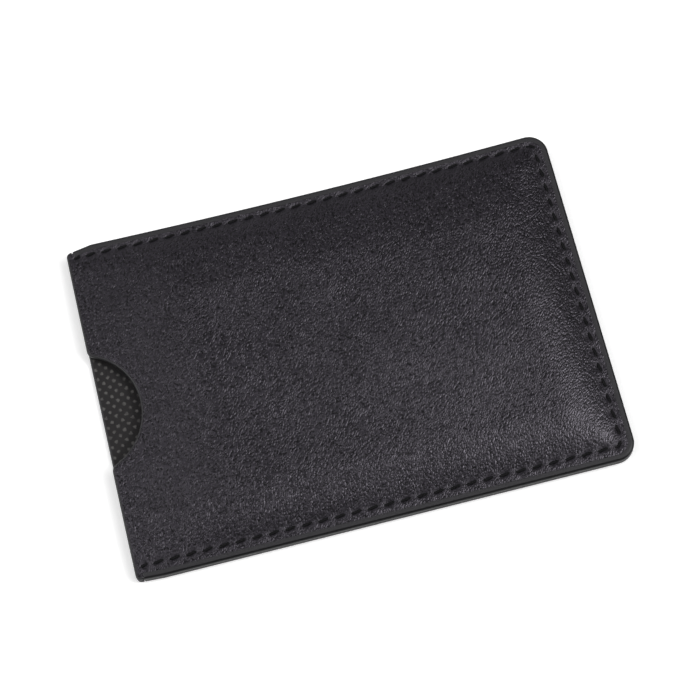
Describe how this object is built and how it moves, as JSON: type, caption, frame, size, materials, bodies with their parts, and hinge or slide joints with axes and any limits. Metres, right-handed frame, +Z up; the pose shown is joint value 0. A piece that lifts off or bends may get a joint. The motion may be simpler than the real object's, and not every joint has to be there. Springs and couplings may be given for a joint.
{
  "type": "leather card wallet",
  "caption": "Slim black leather card sleeve: lined, padded panels sewn along both long sides and one end, open at the mouth, with a half-round thumb notch in the front panel.",
  "frame": {"origin": "under the middle of the sleeve, on the surface that it lies on", "axes": "+X along the length from the mouth to the closed end, +Y across to the far long side, +Z up out of the front panel"},
  "size_m": [0.102, 0.072, 0.0048],
  "materials": {
    "leather": "black smooth leather with a fine pebble grain, semi-matt",
    "lining": "black non-woven lining with small pressed dots",
    "padding": "off-white felt wadding, hidden inside the panels",
    "edge_paint": "black edge paint, satin",
    "thread": "black twisted polyester sewing thread"
  },
  "bodies": {
    "root": {"front_leather": "leather", "front_padding": "padding", "front_lining": "lining", "front_mouth_paint": "edge_paint", "back_leather": "leather", "back_padding": "padding", "back_lining": "lining", "back_mouth_paint": "edge_paint", "sewn_edge_paint": "edge_paint", "needle_thread": "thread", "bobbin_thread": "thread"}
  },
  "joints": []
}
